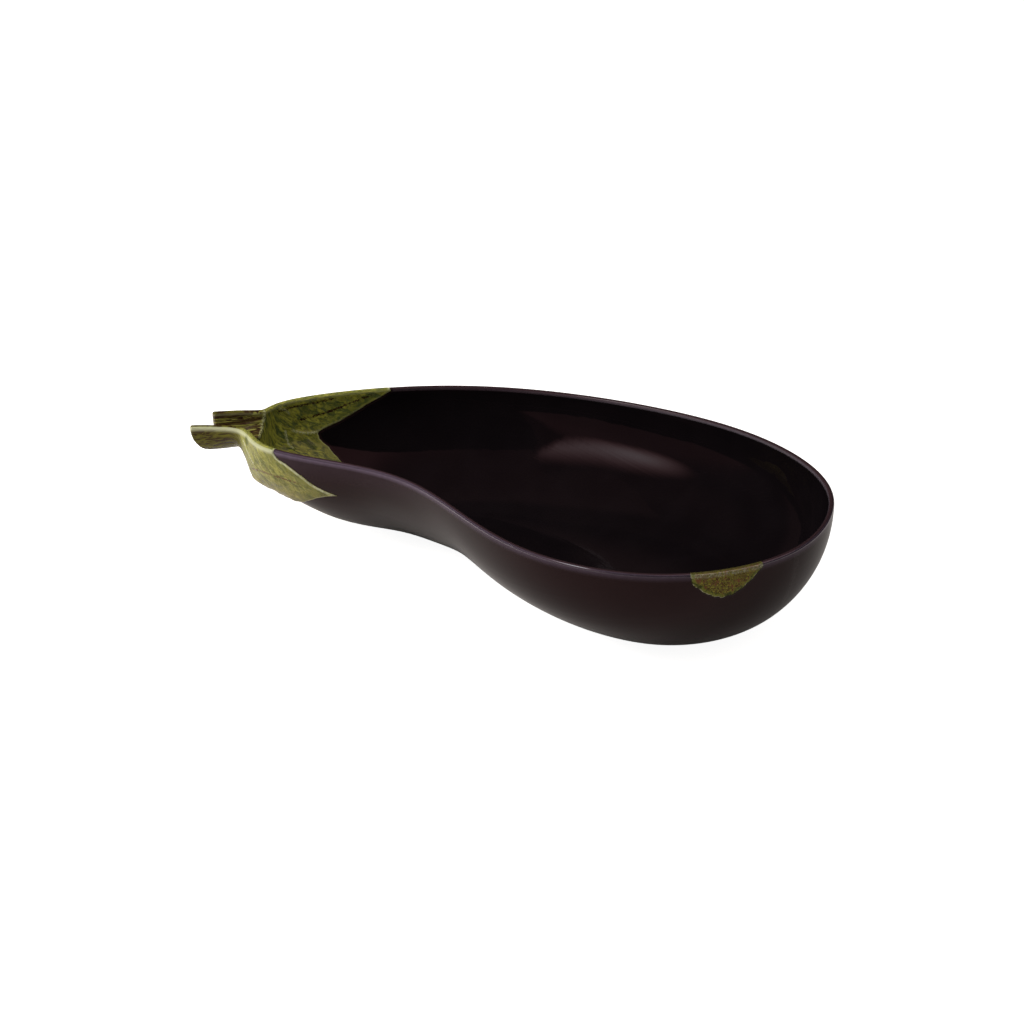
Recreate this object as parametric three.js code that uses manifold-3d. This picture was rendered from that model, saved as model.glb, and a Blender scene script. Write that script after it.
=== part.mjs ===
// Serving bowl of glazed earthenware in the shape of a halved, bent eggplant.
// It is cast and fired as one piece, so it is one mesh. The stem is an open channel,
// the calyx is low relief inside and out, and the bowl stands on an oval foot ring.
// Millimetres, +Z up. The origin is on the table under the middle of the bowl's box,
// +X points along the bowl towards the blossom end.

import * as THREE from 'three';
import { mergeVertices } from 'three/addons/utils/BufferGeometryUtils.js';
import Module from 'manifold-3d';

// Heights and thicknesses
const rimHeight = 78;
const lipRise = 1.8; // the rounded top of the wall
const wallThickness = 3.6; // at the rim
const endWallThickness = 5; // between the stem's channel and the bowl
const floorThickness = { least: 3, perDepth: 0.05 }; // thicker where the bowl is deeper
const calyxRelief = 0.9; // how far the leaf-like calyx stands out of the glaze
const scarRelief = 0.8; // the blossom scar, likewise

// The body is a row of ribs. Each runs from the rim down to the keel and up to the rim
// again. A station gives both rim points and the keel point in plan, the depth under the
// rim, and the fullness of the rib (2 is an ellipse, more is squarer).
const stations = [
  // cut end of the stem
  { near: [-208, -116.5], far: [-216.5, -87.5], keel: [-204, -96.5], depth: 21, fullness: 2.15 },
  { near: [-202, -111], far: [-205, -75], keel: [-197, -91], depth: 20.5, fullness: 2.2 },
  // root of the stem
  { near: [-191.5, -103.5], far: [-193.5, -66], keel: [-187, -83], depth: 18, fullness: 2.05 },
  { near: [-180.5, -97], far: [-192.5, -63.5], keel: [-187, -82.5], depth: 19.5, fullness: 2.1 },
  // foot of the end wall, then the shoulder
  { near: [-167, -102.5], far: [-192.5, -60.5], keel: [-186.5, -83], depth: 46.5, fullness: 2.15 },
  { near: [-146, -112.5], far: [-195, -42], keel: [-165, -63.5], depth: 47, fullness: 2.1 },
  { near: [-109, -104], far: [-170, 2], keel: [-119.5, -43], depth: 69, fullness: 2.15 },
  // neck and waist
  { near: [-73.5, -92], far: [-132.5, 45.5], keel: [-86.5, -18], depth: 76, fullness: 1.65 },
  { near: [-37.5, -87.5], far: [-85, 79.5], keel: [-43, -3.5], depth: 76, fullness: 2.0 },
  { near: [-0.5, -96], far: [-29, 103.5], keel: [2.5, 5.5], depth: 76, fullness: 1.9 },
  { near: [40, -110.5], far: [31, 118.5], keel: [60.5, -0.5], depth: 76, fullness: 2.3 },
  // widest rib
  { near: [84, -120.5], far: [91, 122.5], keel: [118, -16], depth: 76, fullness: 2.3 },
];
// Round the blossom end all ribs meet in one point of the floor.
const bulbCentre = [140, -19];
const bulbRim = [[129, -116], [170.5, -96.5], [202, -61], [218.5, -15], [212.5, 34], [189, 79], [146.5, 108.5]];

// Sepals: where each tip lies across the bowl (-1 near rim, 0 keel, 1 far rim), the
// station that it reaches, its half width across, and how pointed it is.
const sepalRoot = 5.2;
const outerSepals = [
  { across: -0.75, reach: 6.6, spread: 0.36, point: 1.5 },
  { across: 0.0625, reach: 6.5, spread: 0.6, point: 1.4 },
  { across: 1.0, reach: 6.5, spread: 0.5, point: 1.1 },
];
const innerSepals = [
  { across: -0.75, reach: 6.4, spread: 0.45, point: 1.3 },
  { across: 0.125, reach: 6.35, spread: 0.85, point: 1.3 },
  { across: 1.0, reach: 6.5, spread: 0.37, point: 1.0 },
];

// Blossom scar: a half-round patch that hangs over the rim
const scar = { middle: 13.93, halfLength: 0.5, drop: 0.125, slope: 0.25 };

// Foot ring: an oval under the bulb, sunk into the floor, which it reaches everywhere
const foot = { centre: [55, -1], halfLength: 88, halfWidth: 30, ringWidth: 5, height: 7.5, turn: -5 };

// Rim parameter: 0 at the near side of the stem's end, round the blossom end, and back
const lastRib = 2 * stations.length + bulbRim.length - 1;

// The end wall stands across the stem, behind the first stations. Its inner face is set
// in along the stem's heading, given in degrees from +X.
const endWallStations = 6;
const endWallHeading = headingOf(39.7);
const stemHeading = headingOf(36.7);

function headingOf(degrees) {
  const angle = THREE.MathUtils.degToRad(degrees);
  return new THREE.Vector2(Math.cos(angle), Math.sin(angle));
}

function makeRibs() {
  const widest = stations.at(-1);
  const rib = (station, rim, index) => ({
    rim: new THREE.Vector2(...rim),
    keel: new THREE.Vector2(...station.keel),
    depth: station.depth,
    fullness: station.fullness,
    endWall: index < endWallStations ? 1 : 0,
  });
  const near = stations.map((station, i) => rib(station, station.near, i));
  const far = stations.map((station, i) => rib(station, station.far, i)).reverse();
  const end = bulbRim.map((rim) => rib({ ...widest, keel: bulbCentre }, rim, Infinity));
  return [...near, ...end, ...far];
}

const ribs = makeRibs();

// Uniform cubic B-spline through the ribs, clamped at both ends
function splineWeights(t) {
  const start = Math.min(Math.max(Math.floor(t), 0), lastRib - 1);
  const f = t - start;
  const values = [(1 - f) ** 3, 3 * f ** 3 - 6 * f ** 2 + 4, -3 * f ** 3 + 3 * f ** 2 + 3 * f + 1, f ** 3];
  const slopes = [-3 * (1 - f) ** 2, 9 * f ** 2 - 12 * f, -9 * f ** 2 + 6 * f + 3, 3 * f ** 2];
  const weights = [];
  const add = (index, value, slope) => weights.push({ index, value: value / 6, slope: slope / 6 });
  for (let k = 0; k < 4; k += 1) {
    const index = start - 1 + k;
    if (index >= 0 && index <= lastRib) {
      add(index, values[k], slopes[k]);
    } else {
      const edge = index < 0 ? 0 : lastRib;
      const inner = index < 0 ? 1 : lastRib - 1;
      add(edge, 2 * values[k], 2 * slopes[k]);
      add(inner, -values[k], -slopes[k]);
    }
  }
  return weights;
}

function ribAt(t) {
  const rib = { rim: new THREE.Vector2(), keel: new THREE.Vector2(), depth: 0, fullness: 0, endWall: 0 };
  const tangent = new THREE.Vector2();
  for (const { index, value, slope } of splineWeights(t)) {
    const source = ribs[index];
    rib.rim.addScaledVector(source.rim, value);
    rib.keel.addScaledVector(source.keel, value);
    tangent.addScaledVector(source.rim, slope);
    rib.depth += source.depth * value;
    rib.fullness += source.fullness * value;
    rib.endWall += source.endWall * value;
  }
  tangent.normalize();
  rib.inward = new THREE.Vector2(-tangent.y, tangent.x);
  return rib;
}

// A point of the rib: climb is 0 at the keel and 1 at the rim, and inset is 0 on the
// outer face and 1 on the inner face. Values outside 0 to 1 make relief.
function ribPoint(t, climb, inset) {
  const rib = ribAt(t);
  const rim = rib.rim.addScaledVector(rib.inward, wallThickness * inset);
  const keel = rib.keel.addScaledVector(endWallHeading, endWallThickness * rib.endWall * inset);
  const floor = floorThickness.least + floorThickness.perDepth * rib.depth;
  const depth = rib.depth - floor * inset - lipRise;
  const angle = (climb * Math.PI) / 2;
  const out = Math.sin(angle) ** (2 / rib.fullness);
  const down = Math.abs(Math.cos(angle)) ** (2 / rib.fullness);
  const plan = keel.lerp(rim, out);
  return new THREE.Vector3(plan.x, plan.y, rimHeight - lipRise - depth * down);
}

function sepalEdge(sepals, across) {
  const reaches = sepals.map(({ across: tip, reach, spread, point }) => {
    const nearness = Math.max(0, 1 - Math.abs(across - tip) / spread);
    return sepalRoot + (reach - sepalRoot) * nearness ** point;
  });
  return Math.max(...reaches);
}

// Columns are written with the calyx edge at nominalEdge. The real edge runs in and out
// along the sepals, so the columns between calyxStart and calyxEnd are stretched to it.
const calyxStart = 2.9;
const nominalEdge = 6;
const calyxEnd = 8;
const edgeStep = 0.03;

function stationOf(column, edge) {
  if (column <= calyxStart || column >= calyxEnd) {
    return column;
  }
  if (column <= nominalEdge) {
    return calyxStart + ((edge - calyxStart) * (column - calyxStart)) / (nominalEdge - calyxStart);
  }
  return edge + ((calyxEnd - edge) * (column - nominalEdge)) / (calyxEnd - nominalEdge);
}

function scarHeight(t, climb) {
  const along = (t - scar.middle) / scar.halfLength;
  const down = (1 - climb) / scar.drop;
  const edge = 1 - along ** 2 - down ** 2;
  return scarRelief * THREE.MathUtils.smoothstep(edge, 0, scar.slope);
}

// The whole skin as one sheet: outer keel, up to the lip, over it, down to the inner keel
const ribRows = 16;
const lipRows = 4;
const endRounding = 1.8; // the cut end of the stem is rounded over

function skinPoint({ t, taper = 1, reachOut = 0 }, row) {
  const farSide = t > lastRib / 2;
  const column = farSide ? lastRib - t : t;
  const lip = THREE.MathUtils.clamp((row - ribRows) / lipRows, 0, 1);
  const climb = Math.min(row, 2 * ribRows + lipRows - row, ribRows) / ribRows;
  const across = farSide ? climb : -climb;
  const edge = THREE.MathUtils.lerp(sepalEdge(outerSepals, across), sepalEdge(innerSepals, across), lip);
  const station = stationOf(column, edge);
  const relief = column < nominalEdge ? calyxRelief : scarHeight(t, climb);
  const outer = -relief / wallThickness;
  const inner = 1 + (column < nominalEdge ? calyxRelief : 0) / wallThickness;
  const middle = (outer + inner) / 2;
  const inset = middle - (middle - outer) * taper * Math.cos(lip * Math.PI);
  const point = ribPoint(farSide ? lastRib - station : station, climb, inset);
  point.z += lipRise * taper * Math.sin(lip * Math.PI);
  point.x -= stemHeading.x * endRounding * reachOut;
  point.y -= stemHeading.y * endRounding * reachOut;
  return point;
}

function skinColumns() {
  const side = [0, 0.5, 1, 1.5, 2, 2.4, 2.7, 2.9, 3.2, 3.5, 3.8, 4.1, 4.5, 5, 5.5];
  side.push(nominalEdge - edgeStep, nominalEdge + edgeStep, 6.5, 7, 7.5, 8);
  const bodyStep = 0.32;
  const bulbStep = 0.25;
  const widestRib = stations.length - 1;
  for (let t = calyxEnd + bodyStep; t < widestRib - bodyStep / 2; t += bodyStep) {
    side.push(t);
  }
  const end = [];
  for (let t = widestRib; t <= lastRib - widestRib; t += bulbStep) {
    end.push(t);
  }
  const round = [Math.PI / 2, Math.PI / 4].map((a) => ({ taper: Math.cos(a), reachOut: Math.sin(a) }));
  return [
    ...round.map((turn) => ({ t: 0, ...turn })),
    ...side.map((t) => ({ t })),
    ...end.map((t) => ({ t })),
    ...side.map((t) => ({ t: lastRib - t })).reverse(),
    ...round.map((turn) => ({ t: lastRib, ...turn })).reverse(),
  ];
}

function skinGeometry() {
  const columns = skinColumns();
  const rows = 2 * ribRows + lipRows + 1;
  const positions = [];
  for (const column of columns) {
    for (let row = 0; row < rows; row += 1) {
      positions.push(...skinPoint(column, row).toArray());
    }
  }
  const indices = [];
  for (let c = 0; c < columns.length - 1; c += 1) {
    for (let row = 0; row < rows - 1; row += 1) {
      const a = c * rows + row;
      const b = a + rows;
      indices.push(a, b, b + 1, a, b + 1, a + 1);
    }
  }
  const geometry = new THREE.BufferGeometry();
  geometry.setAttribute('position', new THREE.Float32BufferAttribute(positions, 3));
  geometry.setIndex(indices);
  return geometry;
}

function footGeometry() {
  const ring = new THREE.Shape();
  const { halfLength, halfWidth, ringWidth, height } = foot;
  ring.absellipse(0, 0, halfLength, halfWidth, 0, 2 * Math.PI, false);
  const hole = new THREE.Path();
  hole.absellipse(0, 0, halfLength - ringWidth, halfWidth - ringWidth, 0, 2 * Math.PI, true);
  ring.holes.push(hole);
  const options = { depth: height, bevelEnabled: false, curveSegments: 16 };
  const geometry = new THREE.ExtrudeGeometry(ring, options);
  geometry.rotateZ(THREE.MathUtils.degToRad(foot.turn));
  geometry.translate(...foot.centre, 0);
  return geometry;
}

const wasm = await Module();
wasm.setup();

function solidOf(geometry) {
  geometry.deleteAttribute('normal');
  geometry.deleteAttribute('uv');
  const tolerance = 1e-3;
  const merged = mergeVertices(geometry, tolerance);
  const index = merged.index.array;
  const triangles = [];
  for (let i = 0; i < index.length; i += 3) {
    const [a, b, c] = index.slice(i, i + 3);
    if (a !== b && b !== c && c !== a) {
      triangles.push(a, b, c);
    }
  }
  const vertProperties = new Float32Array(merged.attributes.position.array);
  const triVerts = new Uint32Array(triangles);
  return new wasm.Manifold(new wasm.Mesh({ numProp: 3, vertProperties, triVerts }));
}

function geometryOf(solid) {
  const { vertProperties, triVerts } = solid.getMesh();
  const geometry = new THREE.BufferGeometry();
  geometry.setAttribute('position', new THREE.BufferAttribute(new Float32Array(vertProperties), 3));
  geometry.setIndex(new THREE.BufferAttribute(new Uint32Array(triVerts), 1));
  return geometry;
}

function bowlMesh() {
  const geometry = geometryOf(solidOf(skinGeometry()).add(solidOf(footGeometry())));
  geometry.computeBoundingBox();
  const middle = geometry.boundingBox.getCenter(new THREE.Vector3());
  geometry.translate(-middle.x, -middle.y, -geometry.boundingBox.min.z);
  geometry.computeVertexNormals();
  const glaze = new THREE.MeshStandardMaterial({ color: 0x3a2a31, roughness: 0.3, metalness: 0 });
  const mesh = new THREE.Mesh(geometry, glaze);
  mesh.name = 'bowl';
  return mesh;
}

const eggplantBowl = new THREE.Group();
eggplantBowl.add(bowlMesh());

export default eggplantBowl;
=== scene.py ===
"""A serving bowl of glazed earthenware in the shape of a halved, bent eggplant."""

import math

import bmesh
import bpy
from mathutils import Matrix, Vector, noise
from mathutils.kdtree import KDTree


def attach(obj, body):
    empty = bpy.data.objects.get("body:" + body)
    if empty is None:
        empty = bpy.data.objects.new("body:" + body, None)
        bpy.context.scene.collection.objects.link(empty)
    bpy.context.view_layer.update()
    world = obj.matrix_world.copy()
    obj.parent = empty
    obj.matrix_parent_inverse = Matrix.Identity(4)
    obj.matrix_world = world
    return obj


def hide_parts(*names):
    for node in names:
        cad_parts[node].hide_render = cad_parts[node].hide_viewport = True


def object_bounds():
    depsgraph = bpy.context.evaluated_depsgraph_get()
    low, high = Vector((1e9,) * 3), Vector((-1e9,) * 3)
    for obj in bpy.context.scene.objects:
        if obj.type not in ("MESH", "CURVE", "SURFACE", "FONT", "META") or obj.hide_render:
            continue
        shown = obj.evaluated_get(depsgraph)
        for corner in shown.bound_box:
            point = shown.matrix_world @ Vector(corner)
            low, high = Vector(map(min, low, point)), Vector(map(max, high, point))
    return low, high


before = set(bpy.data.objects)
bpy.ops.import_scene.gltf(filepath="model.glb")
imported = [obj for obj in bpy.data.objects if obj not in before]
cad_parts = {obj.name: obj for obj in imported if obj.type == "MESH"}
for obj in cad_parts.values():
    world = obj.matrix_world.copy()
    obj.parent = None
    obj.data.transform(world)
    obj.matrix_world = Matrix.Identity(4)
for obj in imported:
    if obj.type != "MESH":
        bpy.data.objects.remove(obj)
cad_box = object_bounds()

# ----------------------------------------------------------------------------------------
# The bowl. One wall of slip-cast earthenware, fired in one piece: bulb, waist, neck and
# shoulder, an end wall, and the stem as an open channel. The calyx is a low relief on both
# faces, and the blossom scar is a half-round patch that hangs over the rim.
# ----------------------------------------------------------------------------------------

MM = 0.001
RIM_HEIGHT = 78
LIP_RISE = 1.8
WALL = 3.6
END_WALL = 5
LEAST_FLOOR = 3
FLOOR_PER_DEPTH = 0.05

# near rim, far rim and keel in plan, depth under the rim, fullness of the rib
STATIONS = (
    ((-208, -116.5), (-216.5, -87.5), (-204, -96.5), 21, 2.15),
    ((-202, -111), (-205, -75), (-197, -91), 20.5, 2.2),
    ((-191.5, -103.5), (-193.5, -66), (-187, -83), 18, 2.05),
    ((-180.5, -97), (-192.5, -63.5), (-187, -82.5), 19.5, 2.1),
    ((-167, -102.5), (-192.5, -60.5), (-186.5, -83), 46.5, 2.15),
    ((-146, -112.5), (-195, -42), (-165, -63.5), 47, 2.1),
    ((-109, -104), (-170, 2), (-119.5, -43), 69, 2.15),
    ((-73.5, -92), (-132.5, 45.5), (-86.5, -18), 76, 1.65),
    ((-37.5, -87.5), (-85, 79.5), (-43, -3.5), 76, 2.0),
    ((-0.5, -96), (-29, 103.5), (2.5, 5.5), 76, 1.9),
    ((40, -110.5), (31, 118.5), (60.5, -0.5), 76, 2.3),
    ((84, -120.5), (91, 122.5), (118, -16), 76, 2.3),
)
BULB_CENTRE = (140, -19)
BULB_RIM = (
    (129, -116), (170.5, -96.5), (202, -61), (218.5, -15), (212.5, 34), (189, 79), (146.5, 108.5),
)
LAST_RIB = 2 * len(STATIONS) + len(BULB_RIM) - 1
END_WALL_STATIONS = 6


def heading(degrees):
    angle = math.radians(degrees)
    return Vector((math.cos(angle), math.sin(angle)))


END_WALL_HEADING = heading(39.7)
STEM_HEADING = heading(36.7)


def make_ribs():
    """(rim, keel, depth, fullness, end wall share) of each rib, round the whole rim."""
    def rib(index, rim):
        _, _, keel, depth, fullness = STATIONS[index]
        return Vector(rim), Vector(keel), depth, fullness, float(index < END_WALL_STATIONS)

    near = [rib(i, station[0]) for i, station in enumerate(STATIONS)]
    far = [rib(i, station[1]) for i, station in enumerate(STATIONS)]
    depth, fullness = STATIONS[-1][3:]
    end = [(Vector(rim), Vector(BULB_CENTRE), depth, fullness, 0.0) for rim in BULB_RIM]
    return near + end + far[::-1]


RIBS = make_ribs()


def spline_weights(t):
    """Uniform cubic B-spline through the ribs, clamped at both ends."""
    start = min(max(math.floor(t), 0), LAST_RIB - 1)
    f = t - start
    g = 1 - f
    values = (g ** 3, 3 * f ** 3 - 6 * f ** 2 + 4, 3 * g ** 3 - 6 * g ** 2 + 4, f ** 3)
    slopes = (-3 * g ** 2, 9 * f ** 2 - 12 * f, 12 * g - 9 * g ** 2, 3 * f ** 2)
    weights = {}
    for k, (value, slope) in enumerate(zip(values, slopes)):
        index = start - 1 + k
        shares = [(index, 1)]
        if index < 0:
            shares = [(0, 2), (1, -1)]
        if index > LAST_RIB:
            shares = [(LAST_RIB, 2), (LAST_RIB - 1, -1)]
        for i, share in shares:
            old = weights.get(i, (0, 0))
            weights[i] = (old[0] + share * value / 6, old[1] + share * slope / 6)
    return weights


def wall_point(t, climb, inset):
    """A point of the wall, in millimetres. Climb is 0 at the keel and 1 at the rim, inset 0 on the
    outer face and 1 on the inner one."""
    rim = Vector((0, 0))
    keel = Vector((0, 0))
    tangent = Vector((0, 0))
    depth = fullness = end_wall = 0
    for i, (value, slope) in spline_weights(t).items():
        rib = RIBS[i]
        rim += rib[0] * value
        tangent += rib[0] * slope
        keel += rib[1] * value
        depth += rib[2] * value
        fullness += rib[3] * value
        end_wall += rib[4] * value
    tangent.normalize()
    rim += Vector((-tangent.y, tangent.x)) * WALL * inset
    keel += END_WALL_HEADING * END_WALL * end_wall * inset
    depth -= (LEAST_FLOOR + FLOOR_PER_DEPTH * depth) * inset + LIP_RISE
    angle = climb * math.pi / 2
    out = math.sin(angle) ** (2 / fullness)
    down = abs(math.cos(angle)) ** (2 / fullness)
    plan = keel.lerp(rim, out)
    return Vector((plan.x, plan.y, RIM_HEIGHT - LIP_RISE - depth * down))


# Calyx. Its edge on each face is a line of (across, station), with the sepals' tips at the high
# stations. Across is -1 at the near rim, 0 at the keel, 1 at the far rim.
OUTER_EDGE = (
    (-1.0, 5.24), (-0.985, 5.28), (-0.955, 5.34), (-0.935, 5.55), (-0.87, 5.84), (-0.81, 6.08),
    (-0.772, 6.30), (-0.758, 6.54), (-0.735, 6.24), (-0.69, 6.0), (-0.55, 5.62), (-0.41, 5.32),
    (-0.31, 5.22), (-0.17, 5.62), (0.0, 6.12), (0.06, 6.42), (0.13, 6.02), (0.3, 5.46),
    (0.43, 5.26), (0.58, 5.62), (0.76, 6.02), (0.9, 6.28), (1.0, 6.5),
)
INNER_EDGE = (
    (-1.0, 5.24), (-0.97, 5.5), (-0.86, 5.98), (-0.77, 6.4), (-0.68, 5.98), (-0.55, 5.62),
    (-0.42, 5.46), (-0.22, 5.84), (-0.02, 6.12), (0.1, 6.34), (0.22, 6.08), (0.43, 5.76),
    (0.48, 5.68), (0.55, 5.6), (0.6, 5.49), (0.66, 5.44), (0.69, 5.43), (0.72, 5.54),
    (0.75, 5.64), (0.81, 5.87), (0.88, 6.1), (0.95, 6.36), (1.0, 6.52),
)
CALYX_RELIEF = 0.9
EDGE_WAVER = 0.008


def sepal_edge(outline, across):
    """The station that the calyx reaches, with a slight waver along the cut of the leaves."""
    for (a0, s0), (a1, s1) in zip(outline, outline[1:]):
        if across <= a1:
            share = (across - a0) / (a1 - a0)
            waver = math.sin(61 * across + 3 * s0) + 0.6 * math.sin(137 * across)
            return s0 + (s1 - s0) * share + EDGE_WAVER * waver
    return outline[-1][1]


def station_to_t(station, across):
    return LAST_RIB - station if across > 0 else station


# Columns of the sheet are written with the calyx edge at NOMINAL_EDGE. The real edge runs in
# and out along the sepals, and the columns round it are stretched to follow.
CALYX_START = 2.9
NOMINAL_EDGE = 6
CALYX_END = 8


def station_of(column, edge):
    if column <= CALYX_START or column >= CALYX_END:
        return column
    if column <= NOMINAL_EDGE:
        share = (column - CALYX_START) / (NOMINAL_EDGE - CALYX_START)
        return CALYX_START + (edge - CALYX_START) * share
    share = (column - NOMINAL_EDGE) / (CALYX_END - NOMINAL_EDGE)
    return edge + (CALYX_END - edge) * share


# Blossom scar, over the near rim of the blossom end: its edge as (t, climb)
SCAR_OUTLINE = (
    (13.42, 1.0), (13.45, 0.972), (13.53, 0.948), (13.66, 0.914), (13.84, 0.888), (14.0, 0.896),
    (14.15, 0.925), (14.3, 0.966), (14.42, 1.0),
)
SCAR_RELIEF = 0.8
SCAR_WAVER = 0.0025
ABOVE_RIM = 1.05


def scar_edge(t):
    """How low on the wall the scar reaches at t, as a climb; above the rim outside the scar."""
    for (t0, c0), (t1, c1) in zip(SCAR_OUTLINE, SCAR_OUTLINE[1:]):
        if t0 <= t <= t1:
            return c0 + (c1 - c0) * (t - t0) / (t1 - t0) + SCAR_WAVER * math.sin(47 * t)
    return ABOVE_RIM


def smoothstep(value, low, high):
    """0 at low, 1 at high and beyond, smooth between. It falls where low is above high."""
    x = min(max((value - low) / (high - low), 0), 1)
    return x * x * (3 - 2 * x)


def tree_of(points):
    """A search tree that gives the distance from a place to the nearest of the points."""
    tree = KDTree(len(points))
    for i, point in enumerate(points):
        tree.insert(point, i)
    tree.balance()
    return tree


def edge_tree(outline, inset):
    steps = 1600
    points = []
    for i in range(steps + 1):
        across = 2 * i / steps - 1
        t = station_to_t(sepal_edge(outline, across), across)
        points.append(wall_point(t, abs(across), inset))
    return tree_of(points)


def scar_tree():
    steps = 300
    low, high = SCAR_OUTLINE[0][0], SCAR_OUTLINE[-1][0]
    points = []
    for i in range(steps + 1):
        t = low + (high - low) * i / steps
        points.append(wall_point(t, min(1, scar_edge(t)), 0))
    return tree_of(points)


# Veins and raised folds, as (station, across) points on the face that they are drawn on
OUTER_VEINS = (
    ((4.10, -0.64), (4.50, -0.725), (4.78, -0.755), (5.08, -0.778), (5.34, -0.797), (5.78, -0.808)),
    ((4.20, 0.02), (5.00, 0.03), (6.00, 0.05)),
    ((4.30, 0.80), (5.30, 0.90), (6.10, 0.96)),
)
INNER_VEINS = (
    ((4.40, 0.955), (4.72, 0.957), (5.14, 0.962), (5.48, 0.97), (5.72, 0.985)),
    ((4.95, 0.79), (5.22, 0.825), (5.58, 0.868), (5.94, 0.93), (6.26, 0.985)),
    ((4.20, 0.30), (5.00, 0.25), (5.90, 0.16)),
    ((4.30, -0.60), (5.20, -0.70), (6.00, -0.75)),
)
OUTER_FOLDS = (
    ((3.55, -0.93), (3.80, -0.84), (4.12, -0.84), (4.40, -0.80)),
)
INNER_FOLDS = (
    ((2.72, 0.99), (2.66, 0.86), (2.52, 0.66), (2.56, 0.44), (2.50, 0.20), (2.60, 0.0)),
    ((4.90, 0.70), (5.10, 0.672), (5.28, 0.668), (5.42, 0.685)),
    ((4.52, 0.985), (4.70, 0.955), (4.86, 0.90)),
    ((4.66, 0.70), (4.68, 0.62), (4.74, 0.52), (4.86, 0.47)),
)


def line_tree(lines, inset):
    steps = 60
    points = []
    for line in lines:
        for (s0, a0), (s1, a1) in zip(line, line[1:]):
            for i in range(steps):
                f = i / steps
                station = s0 + (s1 - s0) * f
                across = a0 + (a1 - a0) * f
                points.append(wall_point(station_to_t(station, across), abs(across), inset))
    return tree_of(points)


# Lengths along the bowl are measured this far up the wall, at so many places to a station
MEASURED_CLIMB = 0.7
PLACES_PER_STATION = 4


def running_lengths():
    """Millimetres along the bowl from the stem's end, and up the wall from keel to rim."""
    chords = 8
    along = [0.0]
    around = []
    before = None
    for i in range(PLACES_PER_STATION * (len(STATIONS) - 1) + 1):
        station = i / PLACES_PER_STATION
        near = wall_point(station, MEASURED_CLIMB, 0)
        far = wall_point(LAST_RIB - station, MEASURED_CLIMB, 0)
        here = near.lerp(far, 0.5)
        if before:
            along.append(along[-1] + (here - before).length)
        before = here
        rib = [wall_point(station, k / chords, 0) for k in range(chords + 1)]
        around.append(sum((b - a).length for a, b in zip(rib, rib[1:])))
    return along, around


ALONG, AROUND = running_lengths()


def from_table(table, station):
    place = min(PLACES_PER_STATION * station, len(table) - 1.001)
    i = int(place)
    return table[i] + (table[i + 1] - table[i]) * (place - i)


# From this column on all ribs meet in one point of the floor
FAN_START = 13


def stretch(start, stop, count):
    """Evenly spaced places from start up to, but not with, stop."""
    return [start + (stop - start) * i / count for i in range(count)]


def sheet_columns():
    """(t, taper, reach out) of each column, from the stem's end round the rim and back. They stand
    closest at the edge of the calyx and at the scar. Both ends of the wall are rounded off."""
    round_steps = 6
    near = stretch(0, CALYX_START, 46) + stretch(CALYX_START, 5.6, 62)
    near += stretch(5.6, 5.9, 14) + stretch(5.9, 6.1, 16) + stretch(6.1, 6.6, 8)
    side = near + stretch(6.6, 11, 34) + stretch(11, FAN_START, 16)
    end = stretch(FAN_START, 13.3, 3) + stretch(13.3, 14.6, 64)
    end += stretch(14.6, LAST_RIB - FAN_START, 20)
    turns = [math.pi / 2 * i / round_steps for i in range(round_steps, 0, -1)]
    caps = [(math.cos(a), math.sin(a)) for a in turns]
    columns = [(0, taper, reach) for taper, reach in caps]
    columns += [(t, 1, 0) for t in side + end]
    columns += [(LAST_RIB - t, 1, 0) for t in [FAN_START] + side[::-1]]
    columns += [(LAST_RIB, taper, reach) for taper, reach in caps[::-1]]
    return columns


def sheet_rows():
    """(climb, lip) of each row: up the outside, over the lip, down the inside."""
    steps_up = 65
    steps_over = 12
    outer = [(i / steps_up, 0.0) for i in range(steps_up + 1)]
    lip = [(1.0, i / steps_over) for i in range(1, steps_over)]
    inner = [(climb, 1.0) for climb, _ in outer[::-1]]
    return outer + lip + inner


END_ROUNDING = 1.8
FOLD_RELIEF = 0.6
WRINKLE = 0.45
BARK = 0.35

# The scar ends where the rim turns down on the inside. Beyond that its distance is FAR_OFF.
SCAR_LAST_LIP = 0.85
FAR_OFF = -2


def wrinkles(point, along, around):
    """Height of the modelled wrinkles of the leaves, and of the bark lines of the stem."""
    leaf = noise.noise(point * 0.11) + 0.45 * noise.noise(point * 0.27 + Vector((7, 3, 1)))
    bark = noise.noise(Vector((along * 0.05, around * 0.42, 4)))
    share = smoothstep(along, 38, 28)
    return WRINKLE * leaf * (1 - share) + BARK * bark * share


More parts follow.
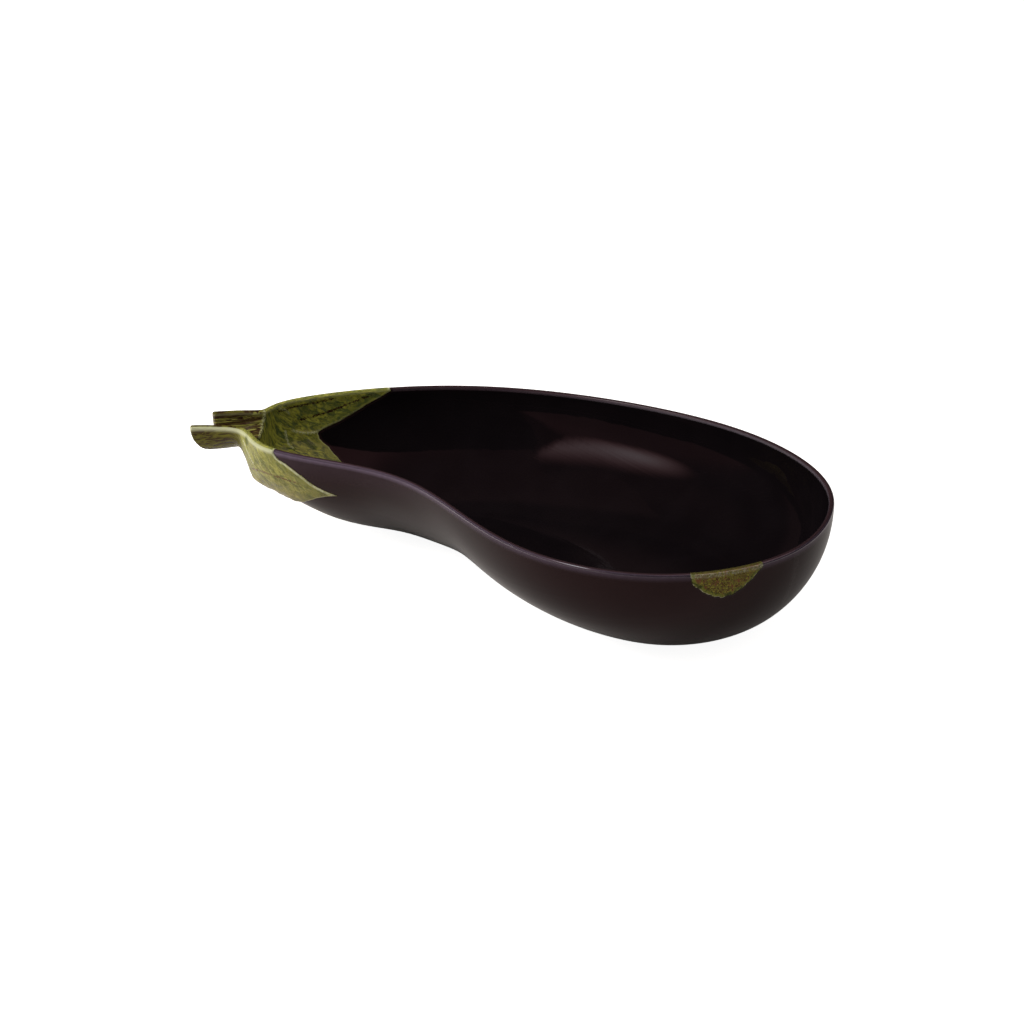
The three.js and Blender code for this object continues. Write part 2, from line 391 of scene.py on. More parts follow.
def sheet_point(column, row, trees):
    """Place and paint values of one vertex of the sheet."""
    t, taper, reach_out = column
    climb, lip = row
    far_side = t > LAST_RIB / 2
    across = climb if far_side else -climb
    nominal = LAST_RIB - t if far_side else t
    edge_out = sepal_edge(OUTER_EDGE, across)
    edge_in = sepal_edge(INNER_EDGE, across)
    edge = edge_out + (edge_in - edge_out) * lip
    station = station_of(nominal, edge)
    t = LAST_RIB - station if far_side else station

    inside = lip > 0.5
    face = "in" if inside else "out"
    base = wall_point(t, climb, 1.0 if inside else 0.0)
    leaf = trees["leaf_" + face].find(base)[2]
    leaf *= 1 if nominal < NOMINAL_EDGE else -1
    vein = trees["vein_" + face].find(base)[2]
    fold = trees["fold_" + face].find(base)[2]
    scar = trees["scar"].find(wall_point(t, climb, 0.0))[2]
    scar *= 1 if climb > scar_edge(t) else -1
    if lip > SCAR_LAST_LIP:
        scar = FAR_OFF

    along = from_table(ALONG, station)
    around = across * from_table(AROUND, station)
    below_rim = smoothstep(climb, 1.0, 0.97)
    leaf_height = CALYX_RELIEF * smoothstep(leaf, -0.2, 1.0)
    leaf_height += FOLD_RELIEF * smoothstep(fold, 1.8, 0.2) * below_rim
    leaf_height += wrinkles(base, along, around) * smoothstep(leaf, 0.5, 5) * below_rim
    scar_height = SCAR_RELIEF * smoothstep(scar, 0, 1.4)
    outer = -(leaf_height + scar_height * (not inside)) / WALL
    inner = 1 + leaf_height / WALL
    middle = (outer + inner) / 2
    inset = middle - (middle - outer) * taper * math.cos(lip * math.pi)
    point = wall_point(t, climb, inset)
    point.z += LIP_RISE * taper * math.sin(lip * math.pi)
    point.xy -= STEM_HEADING * END_ROUNDING * reach_out
    paint = {
        "leaf": leaf,
        "vein": vein,
        "fold": fold,
        "scar": scar,
        "lip": lip,
        "along": along,
        "around": around,
    }
    return point, paint


MERGE_DISTANCE = 0.002 * MM


def make_shell():
    columns = sheet_columns()
    rows = sheet_rows()
    trees = {
        "leaf_out": edge_tree(OUTER_EDGE, 0.0),
        "leaf_in": edge_tree(INNER_EDGE, 1.0),
        "vein_out": line_tree(OUTER_VEINS, 0.0),
        "vein_in": line_tree(INNER_VEINS, 1.0),
        "fold_out": line_tree(OUTER_FOLDS, 0.0),
        "fold_in": line_tree(INNER_FOLDS, 1.0),
        "scar": scar_tree(),
    }
    bm = bmesh.new()
    bmesh.ops.create_grid(bm, x_segments=len(columns) - 1, y_segments=len(rows) - 1, size=1)
    names = ("leaf", "vein", "fold", "scar", "lip", "along", "around")
    layers = {name: bm.verts.layers.float.new(name) for name in names}
    for vert in bm.verts:
        column = columns[round((vert.co.x + 1) / 2 * (len(columns) - 1))]
        row = rows[round((vert.co.y + 1) / 2 * (len(rows) - 1))]
        point, paint = sheet_point(column, row, trees)
        vert.co = point * MM
        for name in names:
            vert[layers[name]] = paint[name]
    bmesh.ops.remove_doubles(bm, verts=bm.verts, dist=MERGE_DISTANCE)
    return bm


def fit_plan(bm, box):
    """Centres the mesh on the given box in plan, and draws it in where it is wider than the box.
    It gives back how far the mesh was moved."""
    low = Vector([min(v.co[i] for v in bm.verts) for i in range(3)])
    high = Vector([max(v.co[i] for v in bm.verts) for i in range(3)])
    shift = (Vector(box[0]) + Vector(box[1]) - low - high) / 2
    shift.z = 0
    bmesh.ops.translate(bm, verts=bm.verts, vec=shift)
    room = [(box[1][i] - box[0][i]) / (high[i] - low[i]) for i in range(2)]
    bmesh.ops.scale(bm, verts=bm.verts, vec=(min(1, room[0]), min(1, room[1]), 1))
    return shift


def new_piece(name, bm, material):
    for face in bm.faces:
        face.smooth = True
    mesh = bpy.data.meshes.new(name)
    bm.to_mesh(mesh)
    bm.free()
    mesh.materials.append(material)
    piece = bpy.data.objects.new(name, mesh)
    bpy.context.scene.collection.objects.link(piece)
    return piece


shell = make_shell()
plan_shift = fit_plan(shell, cad_box)


def add(tree, kind, inputs=None, **settings):
    """A shader node with its settings made and its inputs set or linked."""
    node = tree.nodes.new("ShaderNode" + kind)
    for name, value in settings.items():
        setattr(node, name, value)
    for name, value in (inputs or {}).items():
        if isinstance(value, bpy.types.NodeSocket):
            tree.links.new(value, node.inputs[name])
        else:
            node.inputs[name].default_value = value
    return node


def reckon(tree, operation, values):
    """The values joined from the left, two at a time, by one kind of sum."""
    result = values[0]
    for value in values[1:]:
        result = add(tree, "Math", {0: result, 1: value}, operation=operation).outputs[0]
    return result


def times(tree, *values):
    return reckon(tree, "MULTIPLY", values)


def plus(tree, *values):
    return reckon(tree, "ADD", values)


def less(tree, *values):
    return reckon(tree, "SUBTRACT", values)


def larger(tree, *values):
    return reckon(tree, "MAXIMUM", values)


def along_axis(tree, vector, axis):
    return add(tree, "SeparateXYZ", {0: vector}).outputs[axis]


def rise(tree, value, low, high):
    """0 at low, 1 at high and beyond, smooth between. It falls where low is above high."""
    inputs = {"Value": value, "From Min": low, "From Max": high}
    return add(tree, "MapRange", inputs, interpolation_type="SMOOTHSTEP").outputs["Result"]


def blend(tree, share, below, above):
    """The colour below where share is 0, above where it is 1."""
    colours = {6: below, 7: above}
    for name, value in colours.items():
        if isinstance(value, tuple):
            colours[name] = (*value, 1)
    return add(tree, "Mix", {"Factor": share, **colours}, data_type="RGBA").outputs[2]


def level(tree, share, below, above):
    """The number below where share is 0, above where it is 1."""
    return add(tree, "Mix", {"Factor": share, 2: below, 3: above}).outputs[0]


def clouds(tree, place, scale, detail=3.0, distortion=0.0):
    """Soft random clouds about 0.5, mostly between 0.3 and 0.7."""
    inputs = {"Vector": place, "Scale": scale, "Detail": detail, "Distortion": distortion}
    return add(tree, "TexNoise", inputs).outputs[0]


def thin_lines(tree, cloud, far, close):
    """Lines where the clouds pass their middle: 0 further than far from it, 1 within close."""
    off_middle = add(tree, "Math", {0: less(tree, cloud, 0.5)}, operation="ABSOLUTE").outputs[0]
    return rise(tree, off_middle, far, close)


def drawn_out(tree, place, scale):
    """The place squeezed, so that a pattern on it is drawn out along the axes with a small scale."""
    return add(tree, "Mapping", {"Vector": place, "Scale": scale}).outputs[0]


def place_in_millimetres(tree):
    return drawn_out(tree, add(tree, "TexCoord").outputs["Object"], (1 / MM, 1 / MM, 1 / MM))


def value_of(tree, name):
    return add(tree, "Attribute", attribute_name=name).outputs["Fac"]


def new_glaze(name, vectors, values):
    """A node group that takes the named vectors and values, and gives the look of one glaze."""
    group = bpy.data.node_groups.new(name, "ShaderNodeTree")
    taken = [(vector, "Vector") for vector in vectors] + [(value, "Float") for value in values]
    for socket, kind in taken:
        group.interface.new_socket(socket, in_out="INPUT", socket_type="NodeSocket" + kind)
    for socket, kind in (("Color", "Color"), ("Roughness", "Float"), ("Height", "Float")):
        group.interface.new_socket(socket, in_out="OUTPUT", socket_type="NodeSocket" + kind)
    start = group.nodes.new("NodeGroupInput")
    end = group.nodes.new("NodeGroupOutput")
    return group, start.outputs, end.inputs


# In the glazes, places and distances are in millimetres, and Lip is 0 outside and 1 inside
def aubergine_glaze():
    """Almost black purple, thin and lavender at both corners of the rim; the lavender is partly
    painted reflection and highlight.
    """
    values = ["Lip", "Corner", "By Leaf", "Around"]
    group, given, made = new_glaze("aubergine_glaze", ["Place"], values)
    place = given["Place"]
    lip = given["Lip"]

    thick_outside = (0.0058, 0.0024, 0.0022)
    thinner_outside = (0.0080, 0.0036, 0.0034)
    thick_inside = (0.0038, 0.0027, 0.0032)
    thinner_inside = (0.0048, 0.0034, 0.0040)
    cloud = rise(group, clouds(group, place, 0.035, 4), 0.35, 0.7)
    outside = blend(group, cloud, thick_outside, thinner_outside)
    inside = blend(group, cloud, thick_inside, thinner_inside)
    colour = blend(group, lip, outside, inside)
    crest_brown = (0.030, 0.016, 0.018)
    crest = times(group, rise(group, lip, 0.05, 0.3), rise(group, lip, 0.98, 0.75))
    colour = blend(group, crest, colour, crest_brown)

    # it has run thin at the corners, and the lavender there is partly painted reflection
    outer_lavender = (0.088, 0.066, 0.094)
    inner_lavender = (0.200, 0.160, 0.184)
    inner_plum = (0.080, 0.052, 0.064)
    narrow_end = rise(group, along_axis(group, place, "X"), 60, -90)
    # painted highlight: the inner corner is brighter lavender towards the bulb end, plum at the
    # narrow end
    inner_corner = blend(group, narrow_end, inner_lavender, inner_plum)
    corner = blend(group, rise(group, lip, 0.4, 0.6), outer_lavender, inner_corner)
    # painted reflection: lavender on the outer wall of the narrow end, under the rim
    on_wall = times(group, narrow_end, rise(group, lip, 0.12, 0.0))
    patchy = level(group, clouds(group, place, 0.25, 3), 0.7, 1.15)
    patchy = times(group, patchy, level(group, on_wall, 0.6, 1.15))
    wall_reflection = times(group, rise(group, along_axis(group, place, "Z"), 55, 75), on_wall, 0.13)
    thin = larger(group, given["Corner"], wall_reflection)
    colour = blend(group, times(group, thin, patchy), colour, corner)
    brown_by_leaf = (0.016, 0.008, 0.008)
    colour = blend(group, given["By Leaf"], colour, brown_by_leaf)

    # slow swells, long ripples that follow the rim, and a slight orange peel
    swell = times(group, clouds(group, place, 0.022, 1, 0.4), 0.10)
    level_lines = add(group, "CombineXYZ", {0: times(group, given["Around"], 0.13)}).outputs[0]
    drift = drawn_out(group, place, (0.022, 0.022, 0.006))
    rings = add(group, "VectorMath", {0: level_lines, 1: drift}, operation="ADD").outputs[0]
    ripple = times(group, clouds(group, rings, 1.0, 2, 0.6), 0.06)
    peel = times(group, clouds(group, place, 0.16, 1), 0.012)
    group.links.new(colour, made["Color"])
    group.links.new(level(group, cloud, 0.04, 0.07), made["Roughness"])
    group.links.new(plus(group, ripple, peel, swell), made["Height"])
    return group


def leaf_glaze():
    """Green glaze over scratched relief: dark where it pools, pale olive where it is thin."""
    values = ["Edge", "Vein", "Fold", "Lip", "Corner", "Stem"]
    group, given, made = new_glaze("leaf_glaze", ["Place", "Grain"], values)
    place = given["Place"]
    lip = given["Lip"]
    grain = drawn_out(group, given["Grain"], (0.75, 1.0, 30))
    pool = clouds(group, grain, 0.19, 3, 1.0)
    mottle = clouds(group, grain, 0.45, 5, 0.9)
    fine = clouds(group, place, 1.1, 3)
    scratch = thin_lines(group, clouds(group, place, 0.42, 2, 1.6), 0.035, 0.005)
    pooled = rise(group, pool, 0.42, 0.66)

    olive = (0.190, 0.180, 0.030)
    straw = (0.375, 0.365, 0.090)
    dark_green = (0.085, 0.105, 0.026)
    scratched = (0.46, 0.40, 0.18)
    ochre = (0.36, 0.27, 0.09)
    brown_fleck = (0.22, 0.12, 0.05)
    outside = blend(group, rise(group, mottle, 0.32, 0.68), olive, straw)
    outside = blend(group, times(group, pooled, 0.85), outside, dark_green)
    outside = blend(group, times(group, scratch, 0.5), outside, scratched)
    low_on_wall = rise(group, along_axis(group, place, "Z"), 52, 36)
    outside = blend(group, times(group, low_on_wall, 0.35), outside, ochre)
    fleck = times(group, rise(group, fine, 0.60, 0.66), rise(group, pool, 0.45, 0.55))
    outside = blend(group, times(group, fleck, 0.5), outside, brown_fleck)

    # the inside's olive and dark green are darker than outside: thicker glaze, and in part painted
    # shade
    inner_olive = (0.135, 0.132, 0.018)
    inner_straw = (0.40, 0.385, 0.050)
    inner_green = (0.045, 0.070, 0.020)
    inner_scratched = (0.42, 0.38, 0.12)
    inside = blend(group, rise(group, mottle, 0.30, 0.68), inner_olive, inner_straw)
    inside = blend(group, times(group, pooled, 0.9), inside, inner_green)
    inside = blend(group, times(group, scratch, 0.3), inside, inner_scratched)
    colour = blend(group, lip, outside, inside)

    # a darker hem just inside the pale edge of the leaf
    hem_green = (0.075, 0.095, 0.022)
    beside_edge = times(
        group, rise(group, given["Edge"], 0.8, 2.2), rise(group, given["Edge"], 8, 3)
    )
    hem = times(group, beside_edge, rise(group, mottle, 0.38, 0.6))
    colour = blend(group, times(group, hem, 0.6), colour, hem_green)

    # bark of the stem: streaks along it, and inside broad dark bands too
    bark_groove = (0.036, 0.022, 0.002)
    bark_ridge = (0.128, 0.125, 0.012)
    inner_groove = (0.022, 0.008, 0.003)
    inner_ridge = (0.22, 0.21, 0.04)
    dark_band = (0.030, 0.012, 0.005)
    streak = clouds(group, drawn_out(group, given["Grain"], (0.10, 0.85, 1)), 1.0, 4, 1.2)
    bark_out = blend(group, rise(group, streak, 0.42, 0.56), bark_groove, bark_ridge)
    bark_in = blend(group, rise(group, streak, 0.46, 0.56), inner_groove, inner_ridge)
    band = clouds(group, drawn_out(group, given["Grain"], (0.02, 0.21, 1)), 1.0, 2)
    band = times(group, rise(group, band, 0.42, 0.54), 0.8)
    bark_in = blend(group, band, bark_in, dark_band)
    colour = blend(group, given["Stem"], colour, blend(group, lip, bark_out, bark_in))

    # brown veins, broken and with frayed edges
    vein_brown = (0.120, 0.055, 0.030)
    inner_vein_brown = (0.030, 0.008, 0.003)
    vein_colour = blend(group, lip, vein_brown, inner_vein_brown)
    broken = rise(group, clouds(group, grain, 0.45, 2), 0.40, 0.50)
    frayed = plus(group, given["Vein"], times(group, fine, 3.2))
    vein = times(group, rise(group, frayed, 2.7, 2.0), broken)
    colour = blend(group, vein, colour, vein_colour)

    # thin and pale along the leaf's edge; pale on the folds and rim corners, partly painted glints
    thin = (0.52, 0.52, 0.33)
    inner_thin_and_sheen = (0.42, 0.42, 0.20)
    edge = times(
        group, rise(group, given["Edge"], 0.05, 0.35), rise(group, given["Edge"], 1.7, 0.5)
    )
    edge = times(group, edge, level(group, rise(group, mottle, 0.40, 0.62), 1.0, 0.45))
    fold = times(group, rise(group, given["Fold"], 1.5, 0.3), rise(group, fine, 0.38, 0.58))
    corner = reckon(group, "POWER", (given["Corner"], 2.4))
    corner = times(group, corner, level(group, lip, 0.9, 0.25))
    pale = larger(group, edge, fold, corner)
    colour = blend(group, pale, colour, blend(group, lip, thin, inner_thin_and_sheen))

    # painted shade: darker green in the near corner between stem and leaf, just under the rim
    near_corner = (-167, -104, 73.6)
    corner_shade_green = (0.070, 0.085, 0.018)
    from_corner = add(group, "VectorMath", {0: place, 1: near_corner}, operation="DISTANCE")
    painted_corner_shade = rise(group, from_corner.outputs["Value"], 4.6, 1.6)
    colour = blend(group, times(group, painted_corner_shade, 0.8), colour, corner_shade_green)

    relief = plus(group, times(group, mottle, 0.5), times(group, scratch, 0.10))
    bark = times(group, streak, 0.35, given["Stem"])
    group.links.new(colour, made["Color"])
    group.links.new(level(group, mottle, 0.12, 0.30), made["Roughness"])
    group.links.new(plus(group, relief, bark), made["Height"])
    return group


def scar_glaze():
    """A green border round a brown middle that has crawled into small worm-like ridges."""
    group, given, made = new_glaze("scar_glaze", ["Place"], ["Depth", "Lip", "Corner"])
    place = given["Place"]
    blotch = clouds(group, place, 0.35, 3, 0.5)
    worm = clouds(group, place, 0.55, 2, 2.0)
    ridge = thin_lines(group, worm, 0.09, 0.02)

    dark_green = (0.060, 0.075, 0.008)
    light_green = (0.22, 0.23, 0.030)
    olive_brown = (0.26, 0.24, 0.032)
    dark_brown = (0.060, 0.014, 0.004)
    rust = (0.20, 0.080, 0.030)
    green = blend(group, rise(group, blotch, 0.4, 0.62), dark_green, light_green)
    brown = blend(group, ridge, olive_brown, dark_brown)
    brown = blend(group, rise(group, blotch, 0.52, 0.68), brown, rust)
    ragged_depth = plus(group, given["Depth"], times(group, blotch, 2.5))
    colour = blend(group, rise(group, ragged_depth, 3.4, 4.6), green, brown)

    # thin and pale in spots along the edge and on the rim's outer corner, partly painted glints
    pale_olive = (0.42, 0.40, 0.25)
    crest_olive = (0.085, 0.070, 0.018)
    edge = times(group, rise(group, given["Depth"], 0.9, 0.3), rise(group, blotch, 0.48, 0.58))
    spots = level(group, rise(group, worm, 0.42, 0.60), 0.05, 0.75)
    top = times(group, rise(group, given["Corner"], 0.45, 0.95), rise(group, given["Lip"], 0.6, 0.3))
    pale = larger(group, edge, times(group, top, spots))
    colour = blend(group, pale, colour, pale_olive)
    colour = blend(group, rise(group, given["Lip"], 0.25, 0.5), colour, crest_olive)
    group.links.new(colour, made["Color"])
    group.links.new(level(group, blotch, 0.2, 0.4), made["Roughness"])
    group.links.new(times(group, less(group, blotch, ridge), 0.3), made["Height"])
    return group


def glaze_material():
    """The three glazes side by side, each where its own relief is."""
    material = bpy.data.materials.new("glaze")
    material.use_nodes = True
    tree = material.node_tree
    shader = tree.nodes["Principled BSDF"]
    shader.inputs["Specular IOR Level"].default_value = 0.25
    shader.inputs["Specular Tint"].default_value = (1.0, 0.62, 0.66, 1)
    shader.inputs["Coat Roughness"].default_value = 0.07
    shader.inputs["Coat IOR"].default_value = 2.1
    leaf = value_of(tree, "leaf")
    scar = value_of(tree, "scar")
    lip = value_of(tree, "lip")
    along = value_of(tree, "along")
    around = value_of(tree, "around")
    grain = add(tree, "CombineXYZ", {0: along, 1: around, 2: lip}).outputs[0]
    place = place_in_millimetres(tree)
    height = along_axis(tree, place, "Z")

    # how near a corner of the rim: the outer one runs further down the wall than the inner one
    outer_corner = times(tree, rise(tree, height, 72.4, 76.6), rise(tree, lip, 0.40, 0.26))
    inner_corner = times(tree, rise(tree, height, 74.9, 76.1), rise(tree, lip, 0.68, 1.0))
    corner = plus(tree, outer_corner, inner_corner)

    def glaze(group, inputs):
        node = add(tree, "Group", node_tree=group)
        for name, value in inputs.items():
            tree.links.new(value, node.inputs[name])
        return node.outputs

    by_leaf = times(tree, rise(tree, leaf, -2.2, -0.6), lip)
    skin = glaze(aubergine_glaze(), {
        "Place": place, "Lip": lip, "Corner": corner, "By Leaf": by_leaf, "Around": around,
    })
    stem_end = level(tree, lip, 35, 30)
    stem = rise(tree, less(tree, along, stem_end), 3, -3)
    green = glaze(leaf_glaze(), {
        "Place": place, "Grain": grain, "Edge": leaf, "Vein": value_of(tree, "vein"),
        "Fold": value_of(tree, "fold"), "Lip": lip, "Corner": corner, "Stem": stem,
    })
    tip = glaze(scar_glaze(), {"Place": place, "Depth": scar, "Lip": lip, "Corner": corner})

    ragged = times(tree, less(tree, clouds(tree, place, 0.9, 3), 0.5), 0.9)
    leaf_share = rise(tree, plus(tree, leaf, ragged), -0.15, 0.25)
    scar_share = rise(tree, plus(tree, scar, ragged), -0.15, 0.25)
    colour = blend(tree, leaf_share, skin["Color"], green["Color"])
    colour = blend(tree, scar_share, colour, tip["Color"])
    rough = level(tree, leaf_share, skin["Roughness"], green["Roughness"])
    rough = level(tree, scar_share, rough, tip["Roughness"])
    tree.links.new(colour, shader.inputs["Base Color"])
    tree.links.new(rough, shader.inputs["Roughness"])

    # the glaze stands thick and glossy in a bead on the rim, and on the leaves inside
    bulb_end = rise(tree, along_axis(tree, place, "X"), -90, 30)
    bead = times(tree, rise(tree, lip, 0.0, 0.1), rise(tree, lip, 0.36, 0.24))
    bead = times(tree, bead, level(tree, bulb_end, 0.2, 1.0))
    wet = times(tree, leaf_share, lip, 0.25)
    gloss = larger(tree, wet, larger(tree, bead, inner_corner))
    tree.links.new(gloss, shader.inputs["Coat Weight"])

    wave = add(tree, "Bump", {"Height": skin["Height"], "Distance": MM})
    brushed = times(tree, green["Height"], leaf_share)
    crawled = times(tree, tip["Height"], scar_share)
    texture = plus(tree, brushed, crawled)
    relief = add(tree, "Bump", {"Height": texture, "Distance": MM, "Normal": wave.outputs[0]})
    tree.links.new(relief.outputs[0], shader.inputs["Normal"])
    return material


bowl = new_piece("bowl_shell", shell, glaze_material())
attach(bowl, "root")
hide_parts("bowl")

# ----------------------------------------------------------------------------------------
# Foot ring. An oval ring of bare clay under the bulb, cast in one with the bowl and wiped clean
# of glaze before the firing, so that the bowl can stand on the kiln shelf.
# ----------------------------------------------------------------------------------------
FOOT_CENTRE = Vector((55, -1))
FOOT_HALF_LENGTH = 88
FOOT_HALF_WIDTH = 30
FOOT_TURN = -5
STEPS_ROUND_FOOT = 160

# (how far in from the outer edge, height) round the ring's section, in millimetres
FOOT_SECTION = (
    (-1.6, 6.0), (-0.6, 4.2), (-0.15, 2.9), (0, 1.8), (0.1, 1.0), (0.45, 0.4), (1.0, 0.1), (1.7, 0.0),
    (3.3, 0.0), (4.0, 0.1), (4.55, 0.4), (4.9, 1.0), (5.0, 1.8), (5.15, 2.9), (5.6, 4.2), (6.6, 6.0),
)


def make_foot():
    """A grid bent round the oval, with its first and last rows and columns merged."""
    rows = len(FOOT_SECTION)
    bm = bmesh.new()
    bmesh.ops.create_grid(bm, x_segments=STEPS_ROUND_FOOT, y_segments=rows, size=1)
    turn = math.radians(FOOT_TURN)
    for vert in bm.verts:
        angle = math.pi * (vert.co.x + 1)
        row = round((vert.co.y + 1) / 2 * rows) % rows
        inset, height = FOOT_SECTION[row]
        x = (FOOT_HALF_LENGTH - inset) * math.cos(angle)
        y = (FOOT_HALF_WIDTH - inset) * math.sin(angle)
        vert.co.x = (FOOT_CENTRE.x + x * math.cos(turn) - y * math.sin(turn)) * MM
        vert.co.y = (FOOT_CENTRE.y + x * math.sin(turn) + y * math.cos(turn)) * MM
        vert.co.z = height * MM
    bmesh.ops.remove_doubles(bm, verts=bm.verts, dist=MERGE_DISTANCE)
    bmesh.ops.translate(bm, verts=bm.verts, vec=plan_shift)
    bmesh.ops.recalc_face_normals(bm, faces=bm.faces)
    return bm


def bare_clay():
    """Buff clay with darker grit, greyed where it is rubbed by the table."""
    light_clay = (0.70, 0.62, 0.52)
    dark_clay = (0.62, 0.53, 0.42)
    grit_brown = (0.42, 0.33, 0.25)
    rubbed_grey = (0.45, 0.40, 0.35)
    material = bpy.data.materials.new("bare_clay")
    material.use_nodes = True
    tree = material.node_tree
    shader = tree.nodes["Principled BSDF"]
    place = place_in_millimetres(tree)
    cloud = rise(tree, clouds(tree, place, 0.08, 3), 0.35, 0.65)
    grit = clouds(tree, place, 2.5, 4)
    colour = blend(tree, cloud, dark_clay, light_clay)
    colour = blend(tree, rise(tree, grit, 0.62, 0.72), colour, grit_brown)
    worn = rise(tree, along_axis(tree, place, "Z"), 0.6, 0.0)
    colour = blend(tree, times(tree, worn, 0.35), colour, rubbed_grey)
    tree.links.new(colour, shader.inputs["Base Color"])
    tree.links.new(level(tree, grit, 0.65, 0.9), shader.inputs["Roughness"])
    bump = add(tree, "Bump", {"Height": grit, "Distance": 0.4 * MM, "Strength": 0.5})
    tree.links.new(bump.outputs[0], shader.inputs["Normal"])
    return material


foot = new_piece("foot_ring", make_foot(), bare_clay())
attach(foot, "root")

# ----------------------------------------------------------------------------------------
# Floor, lights and camera. The floor is a sheet of white paper. Two flat panels in the ceiling
# are seen only as mirror images in the glaze: one overhead, and a long scrim with a lamp behind
# it. A plain sky, brighter overhead, and a low lamp at the left light the matt surfaces.
# ----------------------------------------------------------------------------------------
FLOOR_HALF = 6

floor_sheet = bmesh.new()
bmesh.ops.create_grid(floor_sheet, x_segments=1, y_segments=1, size=FLOOR_HALF)
paper = bpy.data.materials.new("floor_paper")
paper.use_nodes = True
paper_shader = paper.node_tree.nodes["Principled BSDF"]
paper_shader.inputs["Base Color"].default_value = (0.60, 0.56, 0.53, 1)
paper_shader.inputs["Roughness"].default_value = 1.0
paper_shader.inputs["Specular IOR Level"].default_value = 0.0
paper_shader.inputs["Emission Strength"].default_value = 0.92
seen = add(paper.node_tree, "LightPath").outputs["Is Camera Ray"]
paper.node_tree.links.new(seen, paper_shader.inputs["Emission Color"])
floor = new_piece("floor", floor_sheet, paper)

SKY_AT_HORIZON = 0.08
SKY_OVERHEAD = 0.78

scene = bpy.context.scene
scene.view_settings.view_transform = "Standard"
world = bpy.data.worlds.new("studio")
scene.world = world
world.use_nodes = True
world.cycles_visibility.glossy = False
sky = world.node_tree
background = sky.nodes["Background"]
background.inputs["Color"].default_value = (1, 1, 1, 1)
direction = add(sky, "TexCoord").outputs["Generated"]
upward = rise(sky, along_axis(sky, direction, "Z"), 0.0, 0.9)
sky.links.new(level(sky, upward, SKY_AT_HORIZON, SKY_OVERHEAD), background.inputs["Strength"])

# Metres, and the turn in plan, in degrees, of the line that runs to the camera's left
CEILING = 1.8
LEFT_TURN = -141


def ceiling_light(name, middle, size, turn):
    """A flat light in the ceiling. The place is (left, towards the front) in ceiling heights."""
    data = bpy.data.lights.new(name, "AREA")
    data.shape = "RECTANGLE"
    data.size = size[0] * CEILING
    data.size_y = size[1] * CEILING
    data.energy = data.size * data.size_y * math.pi
    data.use_nodes = True
    light = bpy.data.objects.new(name, data)
    light.visible_camera = False
    light.visible_diffuse = False
    scene.collection.objects.link(light)
    plan = Vector(middle) * CEILING
    plan.rotate(Matrix.Rotation(math.radians(LEFT_TURN), 2))
    light.location = (plan.x, plan.y, CEILING)
    light.rotation_euler = (0, 0, math.radians(LEFT_TURN + turn))
    return data.node_tree


def across_light(tree):
    """Where a ray meets the light: 0 to 1 along its width and its height."""
    where = add(tree, "NewGeometry").outputs["Parametric"]
    split = add(tree, "SeparateXYZ", {0: where})
    return split.outputs[0], split.outputs[1]


# The panels' light is a little red, and the lamp behind the scrim is bluish
DIM = (1.0, 0.64, 0.64)
BRIGHT = (1.0, 1.22, 1.22)

overhead = ceiling_light("overhead", (-0.56, -0.13), (1.68, 1.34), -11)
overhead_output = overhead.nodes["Emission"].inputs
left, front = across_light(overhead)
overhead_glow = level(overhead, rise(overhead, left, 0.86, 0.66), 0.10, 0.43)
overhead_fade = level(overhead, rise(overhead, front, 0.19, 0.32), 0.2, 1.0)
overhead_output["Color"].default_value = (*DIM, 1)
overhead.links.new(times(overhead, overhead_glow, overhead_fade), overhead_output["Strength"])

SCRIM_SIZE = (3.92, 6.9)
LAMP_PLACE = (0.052, 0.3835)
LAMP_HALF_SIZE = (0.34, 0.50, 1)
LAMP_SLANT = 13
LAMP_STRENGTH = 2.4
SCRIM_STRENGTH = 0.01

scrim = ceiling_light("scrim", (2.58, 0.67), SCRIM_SIZE, -18.5)
scrim_output = scrim.nodes["Emission"].inputs
left, front = across_light(scrim)

# the lamp behind the scrim: a slanting oval, sharper on its near side, in ceiling heights
off_left = times(scrim, less(scrim, left, LAMP_PLACE[0]), SCRIM_SIZE[0])
off_front = times(scrim, less(scrim, front, LAMP_PLACE[1]), SCRIM_SIZE[1])
offset = add(scrim, "CombineXYZ", {0: off_left, 1: off_front}).outputs[0]
slant = (0, 0, math.radians(LAMP_SLANT))
slanted = add(scrim, "Mapping", {"Vector": offset, "Rotation": slant}).outputs[0]
oval = drawn_out(scrim, slanted, [1 / half for half in LAMP_HALF_SIZE])
distance = add(scrim, "VectorMath", {0: oval}, operation="LENGTH").outputs["Value"]
near_side = rise(scrim, along_axis(scrim, slanted, "X"), -0.17, -0.11)
core = times(scrim, rise(scrim, distance, 1.1, 0.0), near_side)

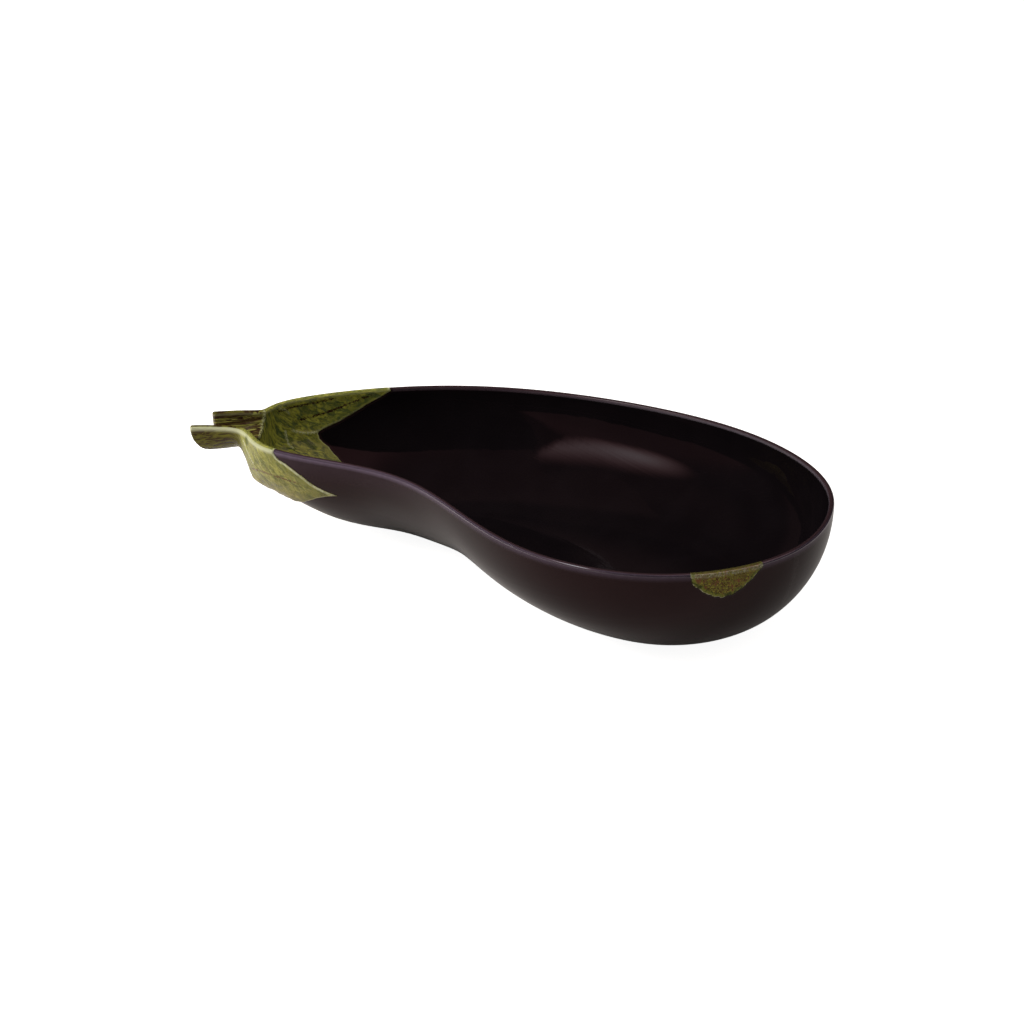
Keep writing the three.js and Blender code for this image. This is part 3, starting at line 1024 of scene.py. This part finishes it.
# faint light towards the front, at the back, and along the side near the bowl
toward_front = less(scrim, times(scrim, front, 6.54), times(scrim, left, 1.24))
front_glow = times(scrim, rise(scrim, toward_front, 1.9, 2.9), rise(scrim, left, 0.026, 0.044), 0.19)
back_glow = times(scrim, rise(scrim, toward_front, 1.0, 0.4), 0.06)
side_glow = times(scrim, rise(scrim, left, 0.14, 0.04), rise(scrim, front, 0.18, 0.27), 0.05)
faint = plus(scrim, front_glow, back_glow, side_glow, SCRIM_STRENGTH)
glow = plus(scrim, times(scrim, core, LAMP_STRENGTH), faint)
scrim.links.new(blend(scrim, core, DIM, BRIGHT), scrim_output["Color"])
scrim.links.new(glow, scrim_output["Strength"])

# the low lamp at the left
KEY_DISTANCE = 0.85
KEY_HEIGHT = 0.55

key_data = bpy.data.lights.new("key", "AREA")
key_data.size = 0.5
key_data.energy = 10.0
key = bpy.data.objects.new("key", key_data)
key.visible_camera = False
key.visible_glossy = False
scene.collection.objects.link(key)
key.location = (*(heading(LEFT_TURN) * KEY_DISTANCE), KEY_HEIGHT)
key.rotation_euler = (-key.location).to_track_quat("-Z", "Y").to_euler()

# the camera looks down to a place in the bulb, level with the rim and near its near side
LENS_TO_SENSOR_WIDTH = 1900 / 1024
CAMERA_ELEVATION = math.radians(26)
CAMERA_AZIMUTH = math.radians(39)
CAMERA_DISTANCE = 1.1939
CAMERA_TARGET = Vector((0.04897, -0.08171, 0.078))

camera_data = bpy.data.cameras.new("camera")
camera_data.sensor_width = 36
camera_data.lens = camera_data.sensor_width * LENS_TO_SENSOR_WIDTH
camera_data.clip_end = 50
camera = bpy.data.objects.new("camera", camera_data)
scene.collection.objects.link(camera)
level_look = Vector((-math.sin(CAMERA_AZIMUTH), math.cos(CAMERA_AZIMUTH), 0))
downward = Vector((0, 0, math.sin(CAMERA_ELEVATION)))
look = level_look * math.cos(CAMERA_ELEVATION) - downward
camera.location = CAMERA_TARGET - look * CAMERA_DISTANCE
camera.rotation_euler = look.to_track_quat("-Z", "Y").to_euler()
scene.camera = camera
